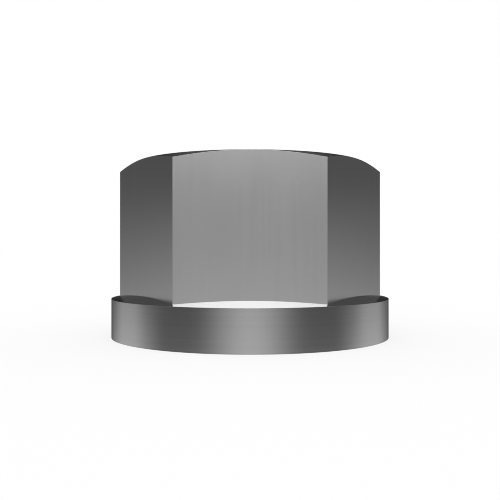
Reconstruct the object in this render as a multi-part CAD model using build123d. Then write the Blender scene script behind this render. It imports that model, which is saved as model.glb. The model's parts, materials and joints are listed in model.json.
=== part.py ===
from build123d import *
import os
from math import cos, radians, tan

# Hexagon nut with a collar, size M16, turned and milled from one piece of steel.
# Lengths are in millimetres and angles in degrees. Z runs along the thread, the seat face
# lies on Z = 0, and one pair of flats faces along Y, so two corners lie on the X axis.

# Thread
THREAD_DIAMETER = 16.0
THREAD_PITCH = 2.0
MINOR_DIAMETER_DROP = 1.0825  # pitches from the nominal to the minor diameter, ISO 68-1

# Hexagon
ACROSS_FLATS = 24.0
HEIGHT = 18.0
TOP_CHAMFER_ANGLE = 20.0  # from level
TOP_FACE_INSET = 0.05  # from each flat to the circle where the chamfer starts

# Collar
COLLAR_DIAMETER = 29.0
COLLAR_RIM_HEIGHT = 4.0  # straight wall at the rim
COLLAR_SLOPE = 10.0  # from level, rising towards the hexagon

# Countersinks, the same at both ends of the thread
COUNTERSINK_ANGLE = 120.0  # included angle
COUNTERSINK_MARGIN = 0.5  # from the thread's nominal radius to the mouth's edge

# Worked out from the sizes above
bore_radius = (THREAD_DIAMETER - MINOR_DIAMETER_DROP * THREAD_PITCH) / 2
mouth_radius = THREAD_DIAMETER / 2 + COUNTERSINK_MARGIN
countersink_depth = (mouth_radius - bore_radius) / tan(radians(COUNTERSINK_ANGLE / 2))
collar_radius = COLLAR_DIAMETER / 2
corner_radius = ACROSS_FLATS / 2 / cos(radians(30))
top_face_radius = ACROSS_FLATS / 2 - TOP_FACE_INSET


def turned(*outline):
    """A solid of revolution about Z from its outline, given as (radius, height) points."""
    return revolve(make_face(Plane.XZ * Polyline(*outline, close=True)), Axis.Z)


def chamfered_hexagon():
    """The hexagon, its upper corners turned off by a cone that leaves a curved edge on each flat."""
    prism = extrude(RegularPolygon(ACROSS_FLATS / 2, 6, major_radius=False), HEIGHT)
    chamfer_drop = (corner_radius - top_face_radius) * tan(radians(TOP_CHAMFER_ANGLE))
    bar = turned(
        (0, 0),
        (corner_radius, 0),
        (corner_radius, HEIGHT - chamfer_drop),
        (top_face_radius, HEIGHT),
        (0, HEIGHT),
    )
    return prism & bar


def collar():
    """The collar, a straight rim under a shallow cone that runs in under the hexagon."""
    cone_rise = (collar_radius - bore_radius) * tan(radians(COLLAR_SLOPE))
    return turned(
        (bore_radius, 0),
        (collar_radius, 0),
        (collar_radius, COLLAR_RIM_HEIGHT),
        (bore_radius, COLLAR_RIM_HEIGHT + cone_rise),
    )


def bore():
    """What the thread's hole takes out: the minor diameter, opened by a countersink at each end."""
    return turned(
        (0, 0),
        (mouth_radius, 0),
        (bore_radius, countersink_depth),
        (bore_radius, HEIGHT - countersink_depth),
        (mouth_radius, HEIGHT),
        (0, HEIGHT),
    )


collar_nut = chamfered_hexagon() + collar() - bore()

os.makedirs("parts", exist_ok=True)
export_step(collar_nut, "parts/collar_nut.step")
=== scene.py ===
import json
from collections import namedtuple
from math import atan2, cos, hypot, pi, radians, sin, tan

import bmesh
import bpy
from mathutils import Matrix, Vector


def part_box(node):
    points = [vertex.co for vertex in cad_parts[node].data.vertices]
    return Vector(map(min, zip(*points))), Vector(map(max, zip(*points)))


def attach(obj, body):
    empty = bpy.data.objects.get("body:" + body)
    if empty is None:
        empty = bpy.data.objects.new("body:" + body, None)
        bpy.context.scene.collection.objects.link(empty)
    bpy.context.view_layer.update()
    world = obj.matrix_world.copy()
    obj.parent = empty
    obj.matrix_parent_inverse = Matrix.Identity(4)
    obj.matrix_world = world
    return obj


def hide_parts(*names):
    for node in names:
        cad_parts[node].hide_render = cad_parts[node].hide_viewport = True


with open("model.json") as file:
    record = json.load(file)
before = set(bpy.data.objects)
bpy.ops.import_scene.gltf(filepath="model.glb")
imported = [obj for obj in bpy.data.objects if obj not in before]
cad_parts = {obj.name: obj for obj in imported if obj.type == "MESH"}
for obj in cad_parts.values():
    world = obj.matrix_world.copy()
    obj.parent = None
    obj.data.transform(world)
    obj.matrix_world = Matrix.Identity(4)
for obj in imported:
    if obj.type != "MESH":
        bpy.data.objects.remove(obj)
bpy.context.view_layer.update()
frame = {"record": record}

# Everything is in metres, in the frame of the CAD nut: its seat face lies on Z = 0, the thread
# runs along Z, and the flat that faces the camera looks along -Y.
MM = 0.001

# Sizes that the frame gives
MOUNTS = {mount["name"]: mount for mount in frame["record"]["mounts"]}
NUT_LOW, NUT_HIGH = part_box("collar_nut")
HEIGHT = NUT_HIGH.z
COLLAR_RADIUS = NUT_HIGH.x
FLAT_RADIUS = MOUNTS["wrench_flat_back"]["pos_m"][1]  # from the axis to each flat
BORE_RADIUS = MOUNTS["thread"]["dims"]["r_mm"] * MM
COUNTERSINK_DEPTH = (HEIGHT - MOUNTS["thread"]["dims"]["length_mm"] * MM) / 2

# Sizes of the nut that the frame doesn't give, as in the CAD model
COLLAR_RIM_HEIGHT = 4 * MM
COLLAR_SLOPE = radians(10)
TOP_CHAMFER_SLOPE = radians(20)
TOP_FACE_INSET = 0.05 * MM  # from each flat to the circle where the chamfer starts
TOP_FACE_RADIUS = FLAT_RADIUS - TOP_FACE_INSET
COUNTERSINK_HALF_ANGLE = radians(60)
MOUTH_RADIUS = BORE_RADIUS + COUNTERSINK_DEPTH * tan(COUNTERSINK_HALF_ANGLE)

# The thread, M16 x 2, right-hand
THREAD_RADIUS = 8 * MM
THREAD_PITCH = 2 * MM
THREAD_FLANK_ANGLE = radians(30)  # from square to the axis
THREAD_ROOT_WIDTH = THREAD_PITCH / 8

# The screw that cuts the thread
SCREW_CLEARANCE = 0.3 * MM  # from the wall of the hole to the foot of the screw's ridge
SCREW_OVERHANG = 2 * THREAD_PITCH  # how far its ridge runs on past each end of the nut
SCREW_TIP_LENGTH = THREAD_PITCH

# Broken edges and how finely curves are divided
EDGE_BREAK = 0.01 * MM
EDGE_BREAK_STEPS = 3
STEPS_PER_FLAT = 40
STEPS_PER_TURN = 192
SAME_POINT_WITHIN = 0.0005 * MM  # points nearer than this are made one
SMOOTH_UNDER = radians(3)  # faces that meet at less than this are shaded as one surface

# The finishes. The marks and clouds are faint, as on a clean nut straight from the machine.
STEEL_DARK = (0.52, 0.52, 0.52, 1)
STEEL_LIGHT = (0.58, 0.58, 0.58, 1)
CLOUD_SIZE = 4 * MM
CLOUD_ROUGHNESS = 0.03  # from the smoothest to the roughest clouds
MARK_ROUGHNESS = 0.03
MARK_SHARE_OF_TONE = 0.5  # the rest of the colour's change comes from the clouds
NOISE_DETAIL = 3.0  # how many finer layers the marks and clouds have
TURNING_MARK_WIDTH = 0.35 * MM
DRAWING_MARK_WIDTH = 0.35 * MM
DRAWING_MARK_LENGTH = 10 * MM
THREAD_MARK_WIDTH = 0.12 * MM

# The light that the metal mirrors, by direction. Azimuth is in degrees from the camera's side,
# 0 to 180 to either side alike, and elevation in degrees above the horizon. Each blend gives
# where it starts and where it is whole. A patch shines fully within an angle of its azimuth and
# is gone beyond another, and each of its elevations gives where it is gone and where it is full.
Patch = namedtuple("Patch", "strength azimuth full_within gone_beyond elevations")
WALL_LIGHT = 0.115
BACK_LIGHT = 0.02
BACK_BLEND = (150, 165)
FLOOR_LIGHT = 0.80
FLOOR_BLEND = (-5, -28)
CEILING_LIGHT = 0.90
CEILING_BLEND = (45, 60)
WALL_PATCHES = {
    "front": Patch(0.32, 0, 0, 43, [(11.5, 6.5)]),
    "front_floor": Patch(0.34, 0, 0, 52, [(5, -17)]),
    "side": Patch(0.21, 114, 7, 27, [(7, -2)]),
    "side_floor": Patch(0.90, 114, 18, 46, [(1.5, -24)]),
    "high_side": Patch(0.45, 118, 15, 45, [(26, 38), (75, 50)]),
    "low_back": Patch(0.30, 180, 8, 26, [(3, -6), (-60, -20)]),
    "back": Patch(0.30, 180, 2, 14, [(16, 6), (-6, 3)]),
    "high_back": Patch(0.58, 180, 20, 60, [(18, 71)]),
}
KEY_PATCH = Patch(3.0, 0, 5, 46, [(4, 29), (75, 25)])
TENT_RADIUS = 2.0
TENT_SEGMENTS = 64
TENT_RINGS = 32
FLOOR_SIZE = 4.0
FLOOR_GLOW = 0.75  # share of the floor's white that doesn't depend on the shadow

# The camera looks level along +Y, from a hair below the middle of the nut
CAMERA_LENS_MM = 50
CAMERA_SENSOR_MM = 36
CAMERA_DISTANCE = 3.085 * 2 * FLAT_RADIUS  # just over three widths across the flats
CAMERA_DROP = 0.01 * MM
CAMERA_CLIP_START = 1 * MM
PIXEL_FILTER_WIDTH = 1.0  # narrower than the usual one, for crisp edges


# ---------------------------------------------------------------------------------------- nut


def rounded_corner(before, corner, after, radius, steps):
    """The points of an arc that rounds one corner of an outline, or the corner if radius is 0."""
    if not radius:
        return [corner]
    to_before = atan2(before[1] - corner[1], before[0] - corner[0])
    to_after = atan2(after[1] - corner[1], after[0] - corner[0])
    sweep = (to_after - to_before + pi) % (2 * pi) - pi
    half = abs(sweep) / 2
    middle = to_before + sweep / 2
    centre_distance = radius / sin(half)
    centre_x = corner[0] + centre_distance * cos(middle)
    centre_y = corner[1] + centre_distance * sin(middle)
    turn = (pi - 2 * half) * (1 if sweep > 0 else -1)
    first = middle + pi + turn / 2
    points = []
    for i in range(steps + 1):
        angle = first - turn * i / steps
        points.append((centre_x + radius * cos(angle), centre_y + radius * sin(angle)))
    return points


def hexagon_plan():
    """Points round the hexagon, its corners a little rounded, as (angle, radius, inner angle).

    The points of one corner are so close together that inside the mouth of the hole they are
    one point, at the inner angle.
    """
    corner_centre = (FLAT_RADIUS - EDGE_BREAK) / cos(pi / 6)
    plan = []
    for corner in range(6):
        towards = corner * pi / 3
        for i in range(EDGE_BREAK_STEPS + 1):
            normal = towards + pi / 6 * (2 * i / EDGE_BREAK_STEPS - 1)
            x = corner_centre * cos(towards) + EDGE_BREAK * cos(normal)
            y = corner_centre * sin(towards) + EDGE_BREAK * sin(normal)
            plan.append((atan2(y, x), hypot(x, y), towards))
        half_width = corner_centre * sin(pi / 6)
        for i in range(1, STEPS_PER_FLAT):
            along = half_width * (2 * i / STEPS_PER_FLAT - 1)
            angle = towards + pi / 6 + atan2(along, FLAT_RADIUS)
            plan.append((angle, hypot(FLAT_RADIUS, along), angle))
    return plan


def nut_section(flat_radius):
    """The nut's outline in the half-plane at one angle, where a flat is flat_radius from the axis.

    Gives (radius, height) points, each with the finish of the surface that leads to the next one.
    """
    chamfer_foot = HEIGHT - (flat_radius - TOP_FACE_RADIUS) * tan(TOP_CHAMFER_SLOPE)
    flat_foot = COLLAR_RIM_HEIGHT + (COLLAR_RADIUS - flat_radius) * tan(COLLAR_SLOPE)
    corners = [  # place, radius of the broken edge there, finish from there to the next
        ((BORE_RADIUS, COUNTERSINK_DEPTH), 0, "cut"),
        ((BORE_RADIUS, HEIGHT - COUNTERSINK_DEPTH), 0, "turned"),
        ((MOUTH_RADIUS, HEIGHT), EDGE_BREAK, "turned"),
        ((TOP_FACE_RADIUS, HEIGHT), 0, "turned"),
        ((flat_radius, chamfer_foot), EDGE_BREAK, "drawn"),
        ((flat_radius, flat_foot), 0, "turned"),
        ((COLLAR_RADIUS, COLLAR_RIM_HEIGHT), EDGE_BREAK, "turned"),
        ((COLLAR_RADIUS, 0), EDGE_BREAK, "turned"),
        ((MOUTH_RADIUS, 0), EDGE_BREAK, "turned"),
    ]
    outline = []
    for i, (corner, radius, finish) in enumerate(corners):
        before, after = corners[i - 1][0], corners[(i + 1) % len(corners)][0]
        points = rounded_corner(before, corner, after, radius, EDGE_BREAK_STEPS)
        outline += [(point, "turned") for point in points[:-1]] + [(points[-1], finish)]
    return outline


def nut_mesh(finishes):
    """The nut before its thread is cut: a section at each angle of the plan, joined all round."""
    verts, sections = [], []
    for angle, flat_radius, inner_angle in hexagon_plan():
        section = nut_section(flat_radius)
        for (radius, height), _ in section:
            at = angle if radius > MOUTH_RADIUS + EDGE_BREAK else inner_angle
            verts.append((radius * cos(at), radius * sin(at), height))
        sections.append(section)
    around, along = len(sections), len(sections[0])
    faces, slots = [], []
    for i in range(around):
        here, there = i * along, (i + 1) % around * along
        for j in range(along):
            k = (j + 1) % along
            faces.append((here + j, here + k, there + k, there + j))
            slots.append(finishes.index(sections[i][j][1]))
    mesh = bpy.data.meshes.new("collar_nut_body")
    mesh.from_pydata(verts, [], faces)
    mesh.polygons.foreach_set("material_index", slots)
    join_points_that_meet(mesh)
    point_normals_out(mesh)
    return mesh


def thread_tool_mesh():
    """A screw that stands past both ends of the nut. Its ridge fills the groove of the thread.

    Its surface is one helical strip per point of the profile. The strip of the last point joins
    the first point one turn on, and a fan of faces closes each end.
    """
    foot_radius = BORE_RADIUS - SCREW_CLEARANCE
    root_half = THREAD_ROOT_WIDTH / 2
    foot_half = root_half + (THREAD_RADIUS - foot_radius) * tan(THREAD_FLANK_ANGLE)
    profile = [
        (foot_radius, -foot_half),
        (THREAD_RADIUS, -root_half),
        (THREAD_RADIUS, root_half),
        (foot_radius, foot_half),
    ]
    turns = round((HEIGHT + 2 * SCREW_OVERHANG) / THREAD_PITCH)
    steps = turns * STEPS_PER_TURN
    count, last = len(profile), len(profile) - 1
    verts = []
    for step in range(steps + 1):
        angle = 2 * pi * step / STEPS_PER_TURN
        rise = THREAD_PITCH * step / STEPS_PER_TURN - SCREW_OVERHANG
        for radius, offset in profile:
            verts.append((radius * cos(angle), radius * sin(angle), rise + offset))
    faces = []
    for step in range(steps):
        here, there = step * count, (step + 1) * count
        faces += [(here + p, there + p, there + p + 1, here + p + 1) for p in range(last)]
        if step + STEPS_PER_TURN < steps:
            turn = STEPS_PER_TURN * count
            faces.append((here + last, there + last, there + turn, here + turn))
    # The open edges that are left at the first and the last turn
    low_rim = [step * count for step in range(STEPS_PER_TURN + 1)] + list(range(last, 0, -1))
    high_rim = [step * count + last for step in range(steps - STEPS_PER_TURN, steps + 1)]
    high_rim += [steps * count + p for p in range(last - 1, -1, -1)]
    past_end = SCREW_OVERHANG + SCREW_TIP_LENGTH
    for rim, height in ((low_rim, -past_end), (high_rim, HEIGHT + past_end)):
        tip = len(verts)
        verts.append((0, 0, height))
        faces += [(tip, a, b) for a, b in zip(rim, rim[1:] + rim[:1])]
    mesh = bpy.data.meshes.new("thread_tool")
    mesh.from_pydata(verts, [], faces)
    point_normals_out(mesh)
    return mesh


def point_normals_out(mesh):
    """Turns the faces of a closed mesh to look outwards."""
    work = bmesh.new()
    work.from_mesh(mesh)
    bmesh.ops.recalc_face_normals(work, faces=work.faces)
    work.to_mesh(mesh)
    work.free()


def join_points_that_meet(mesh):
    """Makes one point of those that all but meet, and takes out the slivers between them."""
    work = bmesh.new()
    work.from_mesh(mesh)
    bmesh.ops.remove_doubles(work, verts=work.verts, dist=SAME_POINT_WITHIN)
    work.to_mesh(mesh)
    work.free()


def cut(target, tool):
    """Cuts tool out of target, keeps the finish of each one's faces, and deletes the tool."""
    modifier = target.modifiers.new("cut", "BOOLEAN")
    modifier.operation = "DIFFERENCE"
    modifier.solver = "EXACT"
    modifier.material_mode = "TRANSFER"
    modifier.object = tool
    depsgraph = bpy.context.evaluated_depsgraph_get()
    result = bpy.data.meshes.new_from_object(target.evaluated_get(depsgraph))
    join_points_that_meet(result)
    target.modifiers.remove(modifier)
    target.data = result
    bpy.data.objects.remove(tool)


def add_object(name, mesh):
    made = bpy.data.objects.new(name, mesh)
    bpy.context.collection.objects.link(made)
    return made


def make_nut(materials):
    """The nut as it is seen: the CAD nut's form with broken edges and a real thread."""
    finishes = list(materials)
    nut = add_object("threaded_nut", nut_mesh(finishes))
    for material in materials.values():
        nut.data.materials.append(material)
    tool = add_object("thread_tool", thread_tool_mesh())
    tool.data.materials.append(materials["cut"])
    cut(nut, tool)
    nut.data.name = "threaded_nut"
    nut.data.shade_smooth()
    nut.data.set_sharp_from_angle(angle=SMOOTH_UNDER)
    return nut


# ---------------------------------------------------------------------------------- materials


def add_node(tree, kind, settings=None, inputs=None):
    """Adds a node. inputs gives, by name or number, a value or a socket to link from."""
    node = tree.nodes.new(kind)
    for name, value in (settings or {}).items():
        setattr(node, name, value)
    for name, value in (inputs or {}).items():
        if isinstance(value, bpy.types.NodeSocket):
            tree.links.new(value, node.inputs[name])
        else:
            node.inputs[name].default_value = value
    return node


def add_math(tree, operation, *values):
    node = add_node(tree, "ShaderNodeMath", {"operation": operation}, dict(enumerate(values)))
    return node.outputs[0]


def add_mix(tree, factor, low, high):
    """low where factor is 0, high where it is 1."""
    node = add_node(tree, "ShaderNodeMix", {"data_type": "FLOAT"}, {0: factor, 2: low, 3: high})
    return node.outputs[0]


def smooth_step(tree, value, start, end):
    """0 where value is at start, 1 where it is at end, with an S curve between them."""
    settings = {"interpolation_type": "SMOOTHSTEP"}
    inputs = {"Value": value, "From Min": start, "From Max": end}
    return add_node(tree, "ShaderNodeMapRange", settings, inputs).outputs[0]


def empty_material(name):
    material = bpy.data.materials.new(name)
    material.use_nodes = True
    material.node_tree.nodes.clear()
    return material, material.node_tree


def add_noise(tree, position, size):
    """Noise in space, in blots about as large as size."""
    inputs = {"Vector": position, "Scale": 1 / size, "Detail": NOISE_DETAIL}
    return add_node(tree, "ShaderNodeTexNoise", None, inputs).outputs[0]


def add_line_noise(tree, distance, width):
    """Noise that changes along one distance only, so it draws lines about as wide as width."""
    inputs = {"W": distance, "Scale": 1 / width, "Detail": NOISE_DETAIL}
    return add_node(tree, "ShaderNodeTexNoise", {"noise_dimensions": "1D"}, inputs).outputs[0]


def distance_from_axis(tree, position):
    inputs = {0: position, 1: (1, 1, 0)}
    level = add_node(tree, "ShaderNodeVectorMath", {"operation": "MULTIPLY"}, inputs)
    length = add_node(tree, "ShaderNodeVectorMath", {"operation": "LENGTH"}, {0: level.outputs[0]})
    return length.outputs["Value"]


def turning_marks(tree, position):
    """Fine rings round the axis, on level faces, cones and the rim alike."""
    height = add_node(tree, "ShaderNodeSeparateXYZ", None, {0: position}).outputs[2]
    across = add_math(tree, "ADD", distance_from_axis(tree, position), height)
    return add_line_noise(tree, across, TURNING_MARK_WIDTH)


def drawing_marks(tree, position):
    """Fine streaks along the bar that the flats were drawn on."""
    width, length = DRAWING_MARK_WIDTH, DRAWING_MARK_LENGTH
    inputs = {0: position, 1: (1, 1, width / length)}
    stretched = add_node(tree, "ShaderNodeVectorMath", {"operation": "MULTIPLY"}, inputs)
    return add_noise(tree, stretched.outputs[0], width)


def thread_marks(tree, position):
    """Fine lines along the thread, each at one distance from the axis."""
    return add_line_noise(tree, distance_from_axis(tree, position), THREAD_MARK_WIDTH)


def steel(name, make_marks, roughness, mark_depth):
    """Bare steel with faint tool marks and slightly cloudy sheen."""
    material, tree = empty_material(name)
    position = add_node(tree, "ShaderNodeTexCoord").outputs["Object"]
    marks = make_marks(tree, position)
    clouds = add_noise(tree, position, CLOUD_SIZE)
    low = roughness - (CLOUD_ROUGHNESS + MARK_ROUGHNESS) / 2
    clouded = add_math(tree, "MULTIPLY_ADD", clouds, CLOUD_ROUGHNESS, low)
    marked = add_math(tree, "MULTIPLY_ADD", marks, MARK_ROUGHNESS, clouded)
    tone = add_mix(tree, MARK_SHARE_OF_TONE, clouds, marks)
    inputs = {0: tone, 6: STEEL_DARK, 7: STEEL_LIGHT}
    colour = add_node(tree, "ShaderNodeMix", {"data_type": "RGBA"}, inputs)
    bump = add_node(tree, "ShaderNodeBump", None, {"Distance": mark_depth, "Height": marks})
    shader = add_node(tree, "ShaderNodeBsdfPrincipled", None, {
        "Base Color": colour.outputs[2],
        "Metallic": 1.0,
        "Roughness": marked,
        "Normal": bump.outputs[0],
    })
    add_node(tree, "ShaderNodeOutputMaterial", None, {"Surface": shader.outputs[0]})
    return material


# -------------------------------------------------------------------------- floor, light, camera


def add_patch(tree, azimuth, elevation, patch):
    """How brightly one soft patch shines from each direction."""
    turned = add_math(tree, "ABSOLUTE", add_math(tree, "SUBTRACT", azimuth, patch.azimuth))
    value = smooth_step(tree, turned, patch.gone_beyond, patch.full_within)
    for gone_at, full_at in patch.elevations:
        value = add_math(tree, "MULTIPLY", value, smooth_step(tree, elevation, gone_at, full_at))
    return add_math(tree, "MULTIPLY", value, patch.strength)


def tent_material():
    """The light of the studio by direction: wall, floor, ceiling and the patches on them."""
    material, tree = empty_material("tent_light")
    position = add_node(tree, "ShaderNodeTexCoord").outputs["Object"]
    direction = add_node(tree, "ShaderNodeVectorMath", {"operation": "NORMALIZE"}, {0: position})
    x, y, z = add_node(tree, "ShaderNodeSeparateXYZ", None, {0: direction.outputs[0]}).outputs
    heading = add_math(tree, "ARCTAN2", x, add_math(tree, "MULTIPLY", y, -1.0))
    azimuth = add_math(tree, "DEGREES", add_math(tree, "ABSOLUTE", heading))
    elevation = add_math(tree, "DEGREES", add_math(tree, "ARCSINE", z))
    light = add_mix(tree, smooth_step(tree, azimuth, *BACK_BLEND), WALL_LIGHT, BACK_LIGHT)
    for patch in WALL_PATCHES.values():
        light = add_math(tree, "ADD", light, add_patch(tree, azimuth, elevation, patch))
    light = add_mix(tree, smooth_step(tree, elevation, *FLOOR_BLEND), light, FLOOR_LIGHT)
    light = add_mix(tree, smooth_step(tree, elevation, *CEILING_BLEND), light, CEILING_LIGHT)
    light = add_math(tree, "ADD", light, add_patch(tree, azimuth, elevation, KEY_PATCH))
    shader = add_node(tree, "ShaderNodeEmission", None, {"Strength": light})
    add_node(tree, "ShaderNodeOutputMaterial", None, {"Surface": shader.outputs[0]})
    return material


def make_tent(centre):
    """The studio round the nut: a large ball that is seen only as a reflection."""
    material = tent_material()
    bpy.ops.mesh.primitive_uv_sphere_add(
        segments=TENT_SEGMENTS, ring_count=TENT_RINGS, radius=TENT_RADIUS, location=centre
    )
    tent = bpy.context.object
    tent.name = "tent"
    tent.data.materials.append(material)
    tent.visible_camera = False
    tent.visible_diffuse = False
    tent.visible_shadow = False
    return tent


def floor_material():
    """White that glows on its own for the most part, so that shadows on it stay soft."""
    material, tree = empty_material("white_floor")
    diffuse = add_node(tree, "ShaderNodeBsdfDiffuse", None, {"Color": (1, 1, 1, 1)})
    glow = add_node(tree, "ShaderNodeEmission")
    inputs = {0: FLOOR_GLOW, 1: diffuse.outputs[0], 2: glow.outputs[0]}
    mixed = add_node(tree, "ShaderNodeMixShader", None, inputs)
    add_node(tree, "ShaderNodeOutputMaterial", None, {"Surface": mixed.outputs[0]})
    return material


def make_floor():
    """A white floor that keeps a soft shadow. The metal mirrors the tent in its place."""
    material = floor_material()
    bpy.ops.mesh.primitive_plane_add(size=FLOOR_SIZE)
    floor = bpy.context.object
    floor.name = "floor"
    floor.data.materials.append(material)
    floor.visible_glossy = False
    return floor


def make_world():
    world = bpy.data.worlds.new("white_world")
    world.use_nodes = True
    background = world.node_tree.nodes["Background"]
    background.inputs["Color"].default_value = (1, 1, 1, 1)
    background.inputs["Strength"].default_value = 1.0
    bpy.context.scene.world = world


def make_camera():
    data = bpy.data.cameras.new("camera")
    data.lens = CAMERA_LENS_MM
    data.sensor_width = CAMERA_SENSOR_MM
    data.clip_start = CAMERA_CLIP_START
    camera = add_object("camera", data)
    camera.location = (0, -CAMERA_DISTANCE, HEIGHT / 2 - CAMERA_DROP)
    camera.rotation_euler = (pi / 2, 0, 0)
    bpy.context.scene.camera = camera


nut = make_nut({
    "turned": steel("steel_turned", turning_marks, roughness=0.18, mark_depth=0.0012 * MM),
    "drawn": steel("steel_drawn", drawing_marks, roughness=0.18, mark_depth=0.002 * MM),
    "cut": steel("steel_cut", thread_marks, roughness=0.24, mark_depth=0.003 * MM),
})
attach(nut, "root")
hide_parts("collar_nut")

make_world()
make_camera()
make_floor()
make_tent((0, 0, HEIGHT / 2))
bpy.context.scene.view_settings.view_transform = "Standard"
bpy.context.scene.cycles.filter_width = PIXEL_FILTER_WIDTH
